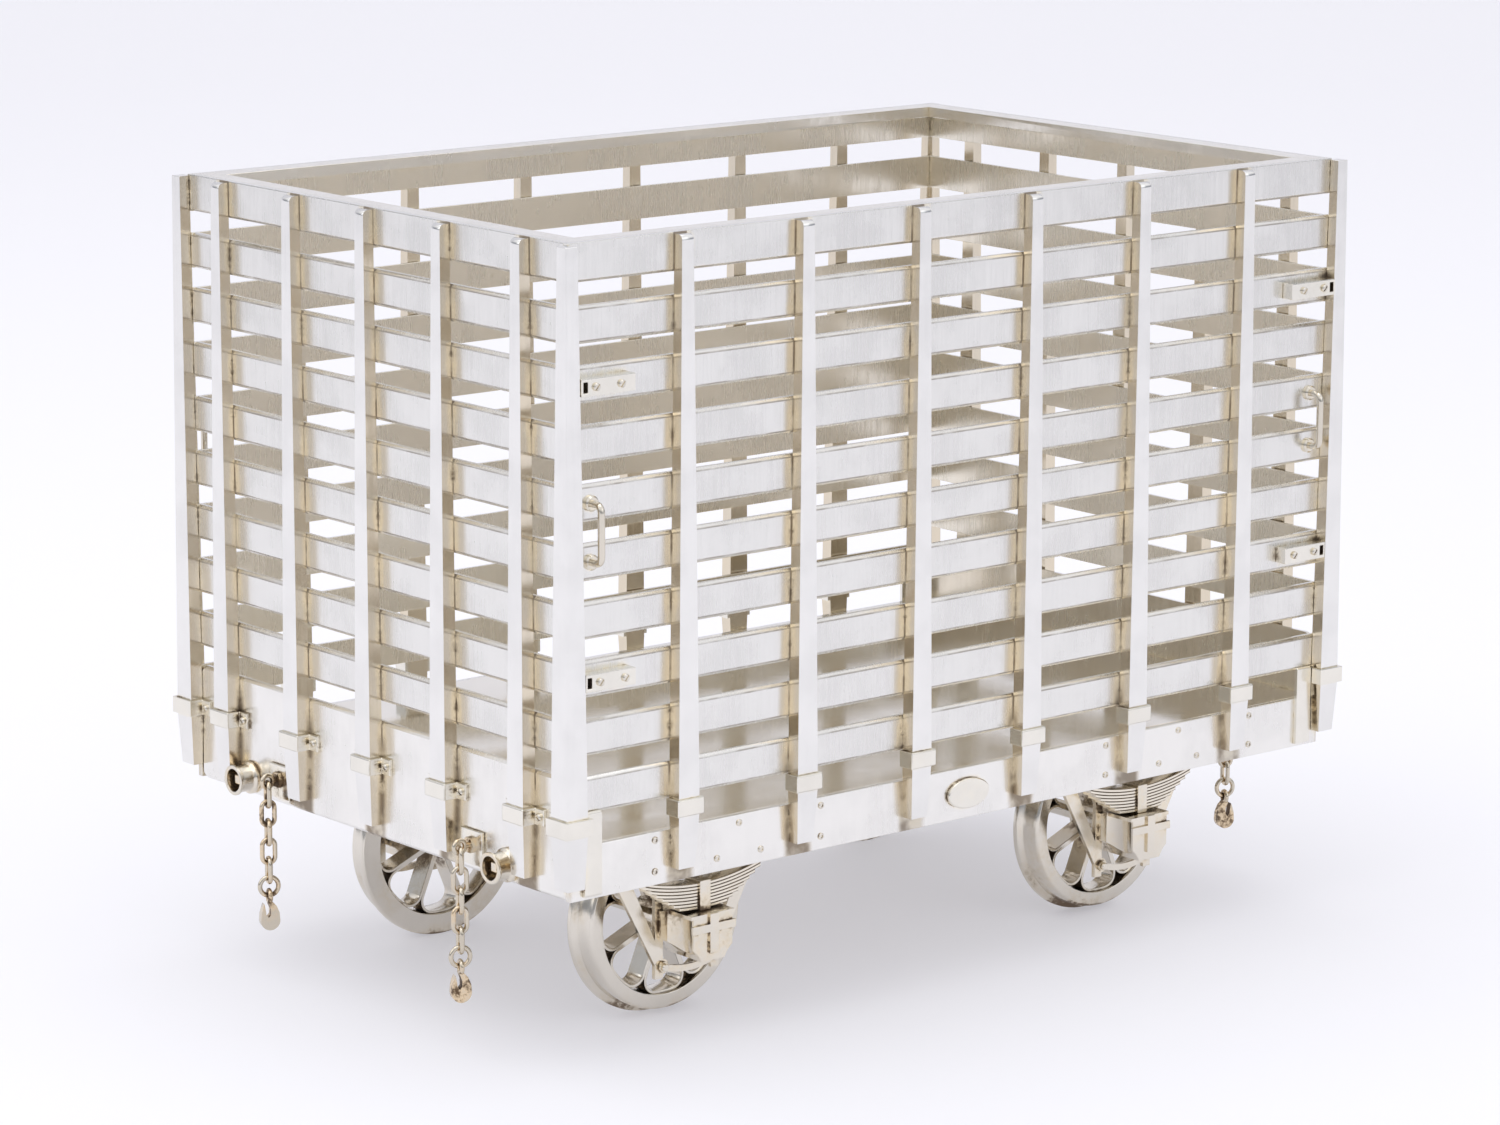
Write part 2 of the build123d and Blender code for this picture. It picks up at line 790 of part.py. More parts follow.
with BuildPart() as hook:
    with BuildSketch(Plane.YZ) as hook_face:
        with BuildLine():
            lower = ThreePointArc(
                (hook_radius, hook_centre),
                (0, hook_centre - hook_radius),
                (-hook_radius, hook_centre),
            )
            Polyline(lower @ 1, *[(across, hook_centre + up) for across, up in hook_outline], lower @ 0)
        make_face()
    extrude(amount=hook_thickness / 2, both=True)
    with Locations(Location((0, 0, hook_eye_centre), (90, 0, 0))):
        Torus(hook_eye_radius, wire_radius)
for name, mark in chain_marks.items():
    hang = mark * Location((0, -eye_standoff, 0), (0, 0, chain_turn))
    groups = {"top_link": (0,), "upper_links": (1, 2), "lower_links": (3, 4)}
    for group, members in groups.items():
        with BuildPart() as links:
            for i in members:
                with Locations(hang * Location((0, 0, link_tops[i]))):
                    add(flat_link if i % 2 == 0 else cross_link)
        write(links.part, f"chain_{name}_{group}")
    write(hang * end_ring.part, f"chain_{name}_ring")
    write(hang * hook.part, f"chain_{name}_hook")

# ---- wheels ----
# Each wheel is made for the right side, where its outer face looks along -Y.
tyre_inner_face = wheel_outer_face - tyre_width
with BuildPart() as tyre:
    with BuildSketch(Plane.XY):
        with BuildLine():
            Polyline(
                (tyre_bore_radius, -wheel_outer_face),
                (tread_radius - tyre_bevel, -wheel_outer_face),
                (tread_radius, tyre_bevel - wheel_outer_face),
                (tread_radius + flange_root_rise, -tyre_inner_face - flange_thickness - flange_root),
                (flange_radius, -tyre_inner_face - flange_thickness),
                (flange_radius, -tyre_inner_face - flange_bevel),
                (flange_radius - flange_bevel, -tyre_inner_face),
                (tyre_bore_radius, -tyre_inner_face),
                close=True,
            )
        make_face()
    revolve(axis=Axis.Y)
loop_half_angle = 180 / spoke_loop_count
spoke_start = wheel_outer_face - (tyre_width - spoke_width) / 2 - spoke_width
with BuildPart() as spoke_loop:
    with BuildSketch(Plane.XZ.offset(spoke_start)) as loop_face:
        with BuildLine():
            low = PolarLine((0, 0), tyre_bore_radius, -loop_half_angle)
            high = PolarLine((0, 0), tyre_bore_radius, loop_half_angle)
            ThreePointArc(low @ 1, (tyre_bore_radius, 0), high @ 1)
        make_face()
        fillet(loop_face.vertices().sort_by(Axis.X)[-2:], spoke_corner)
        offset(amount=-spoke_strip, mode=Mode.SUBTRACT)
    extrude(amount=spoke_width)
with BuildPart() as wheel_centre:
    with Locations([Location((0, 0, 0), (0, i * 2 * loop_half_angle, 0)) for i in range(spoke_loop_count)]):
        add(spoke_loop.part)
    with BuildSketch(Plane.XZ.offset(tyre_inner_face - hub_back)):
        Circle(hub_radius)
    extrude(amount=tyre_width + hub_back + hub_boss)
    chamfer(wheel_centre.edges().sort_by(Axis.Y)[0], hub_bevel)
    with BuildSketch(Plane.XZ.offset(tyre_inner_face - hub_back)):
        Circle(axle_radius)
    extrude(amount=tyre_width + hub_back + hub_boss, mode=Mode.SUBTRACT)
right_wheel = Compound(children=[tyre.part, wheel_centre.part])
left_wheel = mirror(right_wheel, about=Plane.XZ)
for end, axle_x in zip(("rear", "front"), axle_places):
    place = Location((axle_x, 0, axle_height))
    write(place * right_wheel, f"wheel_{end}_right")
    write(place * left_wheel, f"wheel_{end}_left")

# ---- axles ----
hub_face = wheel_outer_face + hub_boss
with BuildPart() as axle:
    with BuildSketch(Plane.XZ):
        Circle(axle_radius)
    extrude(amount=hub_face, both=True)
    with BuildSketch(Plane.XZ):
        Circle(journal_radius)
    extrude(amount=hub_face + journal_length, both=True)
for end, axle_x in zip(("rear", "front"), axle_places):
    write(Location((axle_x, 0, axle_height)) * axle.part, f"axle_{end}")

# ---- inner frame bars and cross bearers under the floor ----
guard_back = guard_face - guard_thickness
bar_middle = guard_back - frame_bar_width / 2
leaf_back = guard_face + leaf_to_guard
box_top_level = axle_height + box_rise
stack_base = box_top_level + spring_seat
stack_top = stack_base + (leaf_count - 1) * leaf_spacing + leaf_thickness
leaf_centre = stack_top + leaf_radius


def arc_drop(radius, half):
    """Height of an arc at a distance from its lowest point."""
    return leaf_centre - math.sqrt(radius**2 - half**2)


hanger_base = arc_drop(leaf_radius, leaf_long_half)
frame_pieces = []
for sign in (-1, 1):
    with BuildPart() as frame_bar:
        with Locations((0, sign * bar_middle, sill_bottom)):
            Box(
                2 * inner_half_length,
                frame_bar_width,
                floor_bottom - sill_bottom,
                align=(Align.CENTER, Align.CENTER, Align.MIN),
            )
    frame_pieces.append(frame_bar.part)
for x in (-bearer_offset, bearer_offset):
    with BuildPart() as cross_bearer:
        with Locations((x, 0, floor_bottom)):
            Box(
                bearer_width,
                2 * (guard_back - frame_bar_width),
                bearer_height,
                align=(Align.CENTER, Align.CENTER, Align.MAX),
            )
    frame_pieces.append(cross_bearer.part)
with BuildPart() as spring_hangers:
    hanger_offset = leaf_long_half - hanger_length / 2
    for axle_x in axle_places:
        for sign_y in (-1, 1):
            for sign_x in (-1, 1):
                hanger_x = axle_x + sign_x * hanger_offset
                hanger_y = sign_y * (leaf_back + leaf_width / 2)
                with Locations((hanger_x, hanger_y, floor_bottom)):
                    Box(
                        hanger_length,
                        leaf_width,
                        floor_bottom - hanger_base,
                        align=(Align.CENTER, Align.CENTER, Align.MAX),
                    )
write(Compound(children=frame_pieces), "frame_bars")
write(spring_hangers.part, "spring_hangers")

# ---- axle guards: plates with two upright legs and two slanting braces ----
foot_level = axle_height - guard_foot_drop
brace_half = guard_brace_width * brace_slant_share
with BuildPart() as axle_guard:
    with BuildSketch(Plane.XZ.offset(guard_back)):
        with Locations((0, (sill_bottom + floor_bottom) / 2)):
            Rectangle(2 * (guard_brace_reach + brace_half), floor_bottom - sill_bottom)
        for sign in (-1, 1):
            with BuildLine():
                Polyline(
                    (sign * (guard_brace_reach - brace_half), sill_bottom),
                    (sign * (guard_brace_reach + brace_half), sill_bottom),
                    (sign * (guard_foot_reach + guard_foot_radius), foot_level),
                    (sign * (guard_foot_reach - guard_foot_radius + brace_foot_step), foot_level),
                    close=True,
                )
            make_face()
            with Locations((sign * guard_foot_reach, foot_level)):
                Circle(guard_foot_radius)
            with Locations((sign * (guard_leg_inner + guard_leg_width / 2), foot_level - guard_tail)):
                Rectangle(
                    guard_leg_width,
                    sill_bottom - foot_level + guard_tail,
                    align=(Align.CENTER, Align.MIN),
                )
    extrude(amount=guard_thickness)

# ---- keeps: sagging tie bars that join the feet of a guard ----
with BuildPart() as guard_keep:
    with BuildSketch(Plane.XZ.offset(guard_face)):
        with BuildLine():
            upper = ThreePointArc(
                (-guard_foot_reach, foot_level + keep_height / 2),
                (0, foot_level + keep_height / 2 - keep_sag),
                (guard_foot_reach, foot_level + keep_height / 2),
            )
            lower = ThreePointArc(
                (guard_foot_reach, foot_level - keep_height / 2),
                (0, foot_level - keep_height / 2 - keep_sag),
                (-guard_foot_reach, foot_level - keep_height / 2),
            )
            Line(upper @ 1, lower @ 0)
            Line(lower @ 1, upper @ 0)
        make_face()
        with Locations((-guard_foot_reach, foot_level), (guard_foot_reach, foot_level)):
            Circle(keep_height * keep_eye_share)
    extrude(amount=keep_thickness)
with BuildPart() as keep_bolts:
    with BuildSketch(Plane.XZ.offset(guard_face + keep_thickness)):
        with Locations((-guard_foot_reach, foot_level), (guard_foot_reach, foot_level)):
            Circle(keep_bolt_radius)
    extrude(amount=keep_bolt_height)
    chamfer(keep_bolts.faces().sort_by(Axis.Y)[0:2].edges(), keep_bolt_bevel)

# ---- leaf springs: eight cambered leaves, the longest on top ----
with BuildPart() as leaf_spring:
    with BuildSketch(Plane.XZ.offset(leaf_back)):
        for i in range(leaf_count):
            share = i / (leaf_count - 1)
            half = leaf_short_half + (leaf_long_half - leaf_short_half) * share
            outer = leaf_centre - stack_base - i * leaf_spacing
            inner = outer - leaf_thickness
            with BuildLine():
                under = ThreePointArc(
                    (-half, arc_drop(outer, half)),
                    (0, leaf_centre - outer),
                    (half, arc_drop(outer, half)),
                )
                over = ThreePointArc(
                    (half, arc_drop(inner, half)),
                    (0, leaf_centre - inner),
                    (-half, arc_drop(inner, half)),
                )
                Line(under @ 1, over @ 0)
                Line(over @ 1, under @ 0)
            make_face()
    extrude(amount=leaf_width)

# ---- buckles that bind the leaves and stand on the axleboxes ----
with BuildPart() as spring_buckle:
    with Locations((0, -leaf_back - leaf_width / 2, box_top_level)):
        Box(
            buckle_width,
            leaf_width + 2 * buckle_wall,
            stack_top + buckle_gap + buckle_wall - box_top_level,
            align=(Align.CENTER, Align.CENTER, Align.MIN),
        )
    with Locations((0, -leaf_back - leaf_width / 2, stack_base)):
        Box(
            buckle_width,
            leaf_width,
            stack_top + buckle_gap - stack_base,
            align=(Align.CENTER, Align.CENTER, Align.MIN),
            mode=Mode.SUBTRACT,
        )

# ---- axleboxes ----
flange_half = box_half_width + box_flange_reach
box_plan = [
    (box_half_width, box_back_reach - guard_face),
    (box_half_width, box_flange_thickness - guard_back),
    (flange_half, box_flange_thickness - guard_back),
    (flange_half, -guard_back),
    (box_half_width, -guard_back),
    (box_half_width, -guard_face),
    (flange_half, -guard_face),
    (flange_half, -guard_face - box_flange_thickness),
    (box_half_width - box_neck_step, -guard_face - box_flange_thickness),
]
nose_face = -guard_face - box_nose_reach
box_bottom = axle_height - box_drop
with BuildPart() as axlebox:
    with BuildSketch(Plane.XY.offset(box_bottom)):
        with BuildLine():
            Polyline(box_plan)
            ThreePointArc(
                box_plan[-1],
                (box_neck_half_width, -guard_face - box_neck_reach),
                (box_nose_half_width, nose_face + box_nose_lip),
            )
            Line((box_nose_half_width, nose_face + box_nose_lip), (box_nose_half_width, nose_face))
            Line((box_nose_half_width, nose_face), (0, nose_face))
            Line((0, nose_face), (0, box_plan[0][1]))
            Line((0, box_plan[0][1]), box_plan[0])
        make_face()
        mirror(about=Plane.YZ)
    extrude(amount=box_top_level - box_bottom)
    with BuildSketch(Plane.XZ):
        with BuildLine():
            Line((-flange_half, box_top_level), (flange_half, box_top_level))
            Line((flange_half, box_top_level), (flange_half, axle_height - box_flange_drop))
            ThreePointArc(
                (flange_half, axle_height - box_flange_drop),
                (box_half_width - box_shoulder_inset, axle_height - box_shoulder_drop),
                (box_foot_half_width, box_bottom),
            )
            Line((box_foot_half_width, box_bottom), (-box_foot_half_width, box_bottom))
            ThreePointArc(
                (-box_foot_half_width, box_bottom),
                (box_shoulder_inset - box_half_width, axle_height - box_shoulder_drop),
                (-flange_half, axle_height - box_flange_drop),
            )
            Line((-flange_half, axle_height - box_flange_drop), (-flange_half, box_top_level))
        make_face()
    extrude(amount=2 * guard_face, mode=Mode.INTERSECT)
    lid_reach = box_nose_reach - box_flange_thickness
    lid_middle = -guard_face - box_flange_thickness - lid_reach / 2
    with Locations((0, lid_middle, box_top_level)):
        Box(
            2 * (box_half_width - box_lid_inset),
            lid_reach,
            box_lid_thickness,
            align=(Align.CENTER, Align.CENTER, Align.MAX),
        )
    with Locations((0, nose_face, box_top_level)):
        Box(
            box_strap_width,
            box_strap_depth,
            box_top_level - box_bottom - box_strap_lift,
            align=(Align.CENTER, Align.MAX, Align.MAX),
        )
    with Locations((0, nose_face, axle_height + box_cross_lift)):
        Box(
            2 * (box_half_width - box_lid_inset),
            box_strap_depth,
            box_cross_height,
            align=(Align.CENTER, Align.MAX, Align.CENTER),
        )
    with BuildSketch(Plane.XZ):
        with Locations((0, axle_height)):
            Circle(journal_radius + journal_clearance)
    extrude(amount=hub_face + journal_length + journal_end_gap, mode=Mode.SUBTRACT)

# ---- the running gear stands at both sides of both axles ----
running_gear = {
    "axle_guards": [axle_guard.part],
    "guard_keeps": [guard_keep.part, keep_bolts.part],
    "leaf_springs": [leaf_spring.part],
    "spring_buckles": [spring_buckle.part],
    "axleboxes": [axlebox.part],
}
for name, pieces in running_gear.items():
    solids = []
    for axle_x in axle_places:
        for piece in pieces:
            right_piece = Location((axle_x, 0, 0)) * piece
            solids.extend(right_piece.solids())
            solids.extend(mirror(right_piece, about=Plane.XZ).solids())
    write(Compound(children=solids), name)
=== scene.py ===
import math

import bpy
from mathutils import Matrix, Vector


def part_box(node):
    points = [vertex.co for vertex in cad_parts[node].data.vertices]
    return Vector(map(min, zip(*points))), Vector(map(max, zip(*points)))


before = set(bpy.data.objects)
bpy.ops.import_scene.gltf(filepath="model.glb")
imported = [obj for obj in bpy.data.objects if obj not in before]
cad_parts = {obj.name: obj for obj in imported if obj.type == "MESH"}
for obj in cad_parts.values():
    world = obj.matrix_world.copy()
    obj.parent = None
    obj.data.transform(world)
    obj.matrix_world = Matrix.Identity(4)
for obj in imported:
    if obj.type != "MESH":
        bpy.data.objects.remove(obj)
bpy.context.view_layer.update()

# ---------------------------------------------------------------------------
# Boards of the four walls.
# Rolled silver strip, sawn to length, bevelled along its outer edges and
# rubbed down by hand with upright strokes before it was soldered to the posts.
# ---------------------------------------------------------------------------
edge_softness = 0.00022
weld_reach = 0.000004


def add_node(tree, kind, place, **values):
    """A node with its settings and its plain input values."""
    node = tree.nodes.new(kind)
    node.location = place
    for key, value in values.items():
        if key in node.inputs:
            node.inputs[key].default_value = value
        else:
            setattr(node, key, value)
    return node


def new_group(name, inputs, outputs):
    """An empty shader node group with named inputs and outputs."""
    group = bpy.data.node_groups.new(name, "ShaderNodeTree")
    for label, kind, value in inputs:
        socket = group.interface.new_socket(label, in_out="INPUT", socket_type=kind)
        socket.default_value = value
    for label, kind in outputs:
        group.interface.new_socket(label, in_out="OUTPUT", socket_type=kind)
    return group, group.nodes.new("NodeGroupInput"), group.nodes.new("NodeGroupOutput")


def place_group(tree, group, place, **values):
    """A copy of a node group in a material, with its own values."""
    node = add_node(tree, "ShaderNodeGroup", place, node_tree=group)
    for key, value in values.items():
        node.inputs[key.replace("_", " ")].default_value = value
    return node


def mix_colour(tree, place, factor, low, high):
    """Mixes two colours by a linked factor; low and high are sockets or colours."""
    node = add_node(tree, "ShaderNodeMix", place, data_type="RGBA")
    tree.links.new(factor, node.inputs[0])
    for index, value in ((6, low), (7, high)):
        if isinstance(value, bpy.types.NodeSocket):
            tree.links.new(value, node.inputs[index])
        else:
            node.inputs[index].default_value = (*value, 1)
    return node.outputs[2]


def maths(tree, place, operation, *values):
    """A Math node on sockets or numbers."""
    node = add_node(tree, "ShaderNodeMath", place, operation=operation)
    for index, value in enumerate(values):
        if isinstance(value, bpy.types.NodeSocket):
            tree.links.new(value, node.inputs[index])
        else:
            node.inputs[index].default_value = value
    return node.outputs[0]


def remap(tree, place, value, low, high, out_low=0.0, out_high=1.0):
    """A smooth Map Range from low..high to out_low..out_high."""
    node = add_node(tree, "ShaderNodeMapRange", place, interpolation_type="SMOOTHSTEP")
    tree.links.new(value, node.inputs["Value"])
    node.inputs["From Min"].default_value = low
    node.inputs["From Max"].default_value = high
    node.inputs["To Min"].default_value = out_low
    node.inputs["To Max"].default_value = out_high
    return node.outputs["Result"]


# Rubbing strokes: fine scratches drawn out along one direction, with a cloud
# of softer and brighter patches over them.
strokes, strokes_in, strokes_out = new_group(
    "Rubbing strokes",
    [("Stretch", "NodeSocketVector", (1, 1, 1)), ("Patch size", "NodeSocketFloat", 60.0)],
    [("Strokes", "NodeSocketFloat"), ("Patches", "NodeSocketFloat")],
)
where = add_node(strokes, "ShaderNodeTexCoord", (-900, 0))
drawn = add_node(strokes, "ShaderNodeVectorMath", (-700, 100), operation="MULTIPLY")
strokes.links.new(where.outputs["Object"], drawn.inputs[0])
strokes.links.new(strokes_in.outputs["Stretch"], drawn.inputs[1])
fine = add_node(strokes, "ShaderNodeTexNoise", (-500, 150), Scale=1.0, Detail=5.0, Roughness=0.62)
strokes.links.new(drawn.outputs[0], fine.inputs["Vector"])
cloud = add_node(strokes, "ShaderNodeTexNoise", (-500, -150), Detail=3.0, Roughness=0.55)
strokes.links.new(where.outputs["Object"], cloud.inputs["Vector"])
strokes.links.new(strokes_in.outputs["Patch size"], cloud.inputs["Scale"])
stroke_range, patch_range = (0.32, 0.68), (0.36, 0.66)
sharp_strokes = remap(strokes, (-250, 150), fine.outputs["Fac"], *stroke_range)
soft_patches = remap(strokes, (-250, -150), cloud.outputs["Fac"], *patch_range)
strokes.links.new(sharp_strokes, strokes_out.inputs["Strokes"])
strokes.links.new(soft_patches, strokes_out.inputs["Patches"])

# Tarnish and painted shade: inner corners, found by ambient occlusion, are painted
# straw-coloured at their edge and brown to black at their heart, partly as sulphide that the polishing
# cloth can't reach, partly as painted shade.
# Faces that don't face outward or up, such as the insides of the walls, get an even warmer colour.
tarnish_and_shade, tarnish_and_shade_in, tarnish_and_shade_out = new_group(
    "Tarnish and painted shade in corners",
    [
        ("Clean", "NodeSocketColor", (0.95, 0.93, 0.89, 1)),
        ("Warm", "NodeSocketColor", (0.80, 0.71, 0.56, 1)),
        ("Straw", "NodeSocketColor", (0.93, 0.85, 0.68, 1)),
        ("Brown", "NodeSocketColor", (0.15, 0.095, 0.055, 1)),
        ("Reach", "NodeSocketFloat", 0.004),
        ("Sheltered", "NodeSocketFloat", 0.0),
        ("Patina", "NodeSocketFloat", 0.0),
        ("Straw amount", "NodeSocketFloat", 0.8),
        ("Brown amount", "NodeSocketFloat", 0.8),
        ("Halo", "NodeSocketFloat", 0.0),
        ("Line", "NodeSocketFloat", 0.0),
    ],
    [("Colour", "NodeSocketColor"), ("Brown mask", "NodeSocketFloat")],
)
corner = add_node(tarnish_and_shade, "ShaderNodeAmbientOcclusion", (-900, 200), samples=8)
tarnish_and_shade.links.new(tarnish_and_shade_in.outputs["Reach"], corner.inputs["Distance"])
spot_place = add_node(tarnish_and_shade, "ShaderNodeTexCoord", (-900, -200))
spots = add_node(tarnish_and_shade, "ShaderNodeTexNoise", (-700, -200), Scale=620.0, Detail=4.0, Roughness=0.65)
tarnish_and_shade.links.new(spot_place.outputs["Object"], spots.inputs["Vector"])
drift = add_node(tarnish_and_shade, "ShaderNodeTexNoise", (-700, -420), Scale=70.0, Detail=2.0)
tarnish_and_shade.links.new(spot_place.outputs["Object"], drift.inputs["Vector"])
spot_range, spot_gain = (0.30, 0.66), (0.6, 1.2)
drift_range, drift_gain, drift_base = (0.35, 0.68), 0.5, 0.65
straw_range, brown_range, brown_in_halo = (0.10, 0.55), (0.44, 0.74), 0.2
# Painted shade and tarnish: the less open a spot is by ambient occlusion, the more straw and brown it
# is painted.
hidden = maths(tarnish_and_shade, (-700, 200), "SUBTRACT", 1.0, corner.outputs["AO"])
speckle = remap(tarnish_and_shade, (-500, -200), spots.outputs["Fac"], *spot_range, *spot_gain)
speckled = maths(tarnish_and_shade, (-500, 0), "MULTIPLY", hidden, speckle)
drifts = remap(tarnish_and_shade, (-500, -420), drift.outputs["Fac"], *drift_range)
drift_amount = maths(tarnish_and_shade, (-350, -420), "MULTIPLY_ADD", drifts, drift_gain, drift_base)
drifted = maths(tarnish_and_shade, (-350, 0), "MULTIPLY", speckled, drift_amount)
mottle = maths(tarnish_and_shade, (-500, -600), "MULTIPLY", drifts, speckle)
film = maths(tarnish_and_shade, (-350, -600), "MULTIPLY", mottle, tarnish_and_shade_in.outputs["Patina"])
filmed = maths(tarnish_and_shade, (-200, 0), "ADD", drifted, film)
halo_in = tarnish_and_shade_in.outputs["Halo"]
strawed_by = maths(tarnish_and_shade, (-50, 100), "ADD", filmed, halo_in)
browned_by = maths(tarnish_and_shade, (-50, -100), "MULTIPLY_ADD", halo_in, brown_in_halo, filmed)
straw_full = remap(tarnish_and_shade, (50, 150), strawed_by, *straw_range)
straw_mask = maths(tarnish_and_shade, (150, 150), "MULTIPLY", straw_full, tarnish_and_shade_in.outputs["Straw amount"])
deep = remap(tarnish_and_shade, (50, -50), browned_by, *brown_range)
lined = maths(tarnish_and_shade, (150, -250), "MAXIMUM", deep, tarnish_and_shade_in.outputs["Line"])
brown_mask = maths(tarnish_and_shade, (250, -50), "MULTIPLY", lined, tarnish_and_shade_in.outputs["Brown amount"])
warmed = mix_colour(
    tarnish_and_shade, (200, 350), tarnish_and_shade_in.outputs["Sheltered"],
    tarnish_and_shade_in.outputs["Clean"], tarnish_and_shade_in.outputs["Warm"],
)
strawed = mix_colour(tarnish_and_shade, (400, 250), straw_mask, warmed, tarnish_and_shade_in.outputs["Straw"])
browned = mix_colour(tarnish_and_shade, (600, 100), brown_mask, strawed, tarnish_and_shade_in.outputs["Brown"])
tarnish_and_shade.links.new(browned, tarnish_and_shade_out.inputs["Colour"])
tarnish_and_shade.links.new(brown_mask, tarnish_and_shade_out.inputs["Brown mask"])

# Sheltered faces of the wagon's box: everything on its walls that doesn't
# face outward or up. The outer faces lie within the skin of the walls.
wall_low, wall_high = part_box("boards_right")
half_length, half_width = wall_high.x, -wall_low.y
skin_inside, skin_outside = 0.0026, 0.0024
outward_range, upward_range = (0.25, 0.6), (0.3, 0.8)
shelter, _, shelter_out = new_group(
    "Sheltered faces", [], [("Sheltered", "NodeSocketFloat"), ("Outward", "NodeSocketFloat")]
)
shelter_place = add_node(shelter, "ShaderNodeTexCoord", (-1100, 0))
at = add_node(shelter, "ShaderNodeSeparateXYZ", (-900, 150))
faces = add_node(shelter, "ShaderNodeSeparateXYZ", (-900, -150))
shelter.links.new(shelter_place.outputs["Object"], at.inputs[0])
shelter.links.new(shelter_place.outputs["Normal"], faces.inputs[0])
outward = None
for axis, reach in (("X", half_length), ("Y", half_width)):
    which_side = maths(shelter, (-800, 100), "SIGN", at.outputs[axis])
    aligned = maths(shelter, (-700, 0), "MULTIPLY", faces.outputs[axis], which_side)
    from_middle = maths(shelter, (-800, 200), "ABSOLUTE", at.outputs[axis])
    at_wall = remap(shelter, (-700, 200), from_middle, reach - skin_inside, reach - skin_outside)
    part = maths(shelter, (-500, 0), "MULTIPLY", aligned, at_wall)
    outward = part if outward is None else maths(shelter, (-300, 0), "MAXIMUM", outward, part)
outward = remap(shelter, (-150, 0), outward, *outward_range)
upward_face = remap(shelter, (-150, -200), faces.outputs["Z"], *upward_range)
open_face = maths(shelter, (0, -100), "MAXIMUM", outward, upward_face)
sheltered = maths(shelter, (150, -100), "SUBTRACT", 1.0, open_face)
shelter.links.new(sheltered, shelter_out.inputs["Sheltered"])
shelter.links.new(outward, shelter_out.inputs["Outward"])


patch_strength, patch_shade = 0.16, 0.70
smoothest, roughest, rough_in_patches, rough_in_brown = 0.85, 1.2, 0.35, 0.35
stroke_height = 0.00004


def silver(
    name, clean, rough, stretch, stroke_depth=0.15, patch_size=60.0, reach=0.004, straw=0.8,
    brown=0.8, patina=0.0, warm=None, straw_colour=None, marks=None,
):
    """Silver plate with rubbing strokes, soft patches, and tarnish and painted shade in its inner
    corners.

    warm: its colour on the sheltered faces of the box.
    marks: a function that gives masks for a brown line and a straw halo; on the spring leaves the line
    is painted shade.
    """
    material = bpy.data.materials.new(name)
    material.use_nodes = True
    tree = material.node_tree
    shader = tree.nodes["Principled BSDF"]
    shader.inputs["Metallic"].default_value = 1.0
    finish = place_group(tree, strokes, (-900, -200), Stretch=stretch, Patch_size=patch_size)
    stain_and_shade = place_group(
        tree, tarnish_and_shade, (-500, 200), Clean=(*clean, 1), Reach=reach, Patina=patina,
        Straw_amount=straw, Brown_amount=brown,
    )
    cover = None
    if warm is not None:
        stain_and_shade.inputs["Warm"].default_value = (*warm, 1)
        cover = place_group(tree, shelter, (-900, 600))
        tree.links.new(cover.outputs["Sheltered"], stain_and_shade.inputs["Sheltered"])
    if straw_colour is not None:
        stain_and_shade.inputs["Straw"].default_value = (*straw_colour, 1)
    if marks is not None:
        for socket, mask in zip(("Line", "Halo"), marks(tree, cover)):
            tree.links.new(mask, stain_and_shade.inputs[socket])
    patches = finish.outputs["Patches"]
    patch_mask = maths(tree, (-500, 420), "MULTIPLY", patches, patch_strength)
    shaded = tuple(patch_shade * channel for channel in clean)
    worn = mix_colour(tree, (-250, 300), patch_mask, stain_and_shade.outputs["Colour"], shaded)
    tree.links.new(worn, shader.inputs["Base Color"])
    spread = remap(
        tree, (-700, -350), finish.outputs["Strokes"], 0.0, 1.0, rough * smoothest, rough * roughest
    )
    patched = maths(tree, (-480, -350), "MULTIPLY_ADD", patches, rough * rough_in_patches, spread)
    dulled = maths(
        tree, (-260, -350), "MULTIPLY_ADD", stain_and_shade.outputs["Brown mask"], rough_in_brown, patched
    )
    tree.links.new(dulled, shader.inputs["Roughness"])
    bump = add_node(tree, "ShaderNodeBump", (-260, -120), Strength=stroke_depth, Distance=stroke_height)
    tree.links.new(finish.outputs["Strokes"], bump.inputs["Height"])
    tree.links.new(bump.outputs["Normal"], shader.inputs["Normal"])
    return material


side_margin, side_count = 0.0399, 6
end_margin, end_count = 0.0198, 5
board_foot, board_pitch, board_depth, bevel_depth = 0.0779, 0.0169, 0.0108, 0.0009
under_top_board, foot_of_top_board = 0.2345, 0.2350
tail_foot, post_foot, post_head = 0.0571, 0.0781, 0.2413
tail_half, post_foot_half, post_head_half = 0.0031, 0.0038, 0.0021
halo_reach, halo_strength = 0.009, 0.42
seam_from_post, foot_stain_from_post, foot_stain_height = (0.0002, 0.0006), (0.0004, 0.0030), 0.009
break_range, break_gain = (0.35, 0.60), (0.35, 0.95)
bevel_line, bevel_line_strength = (0.00010, 0.00032), 0.7


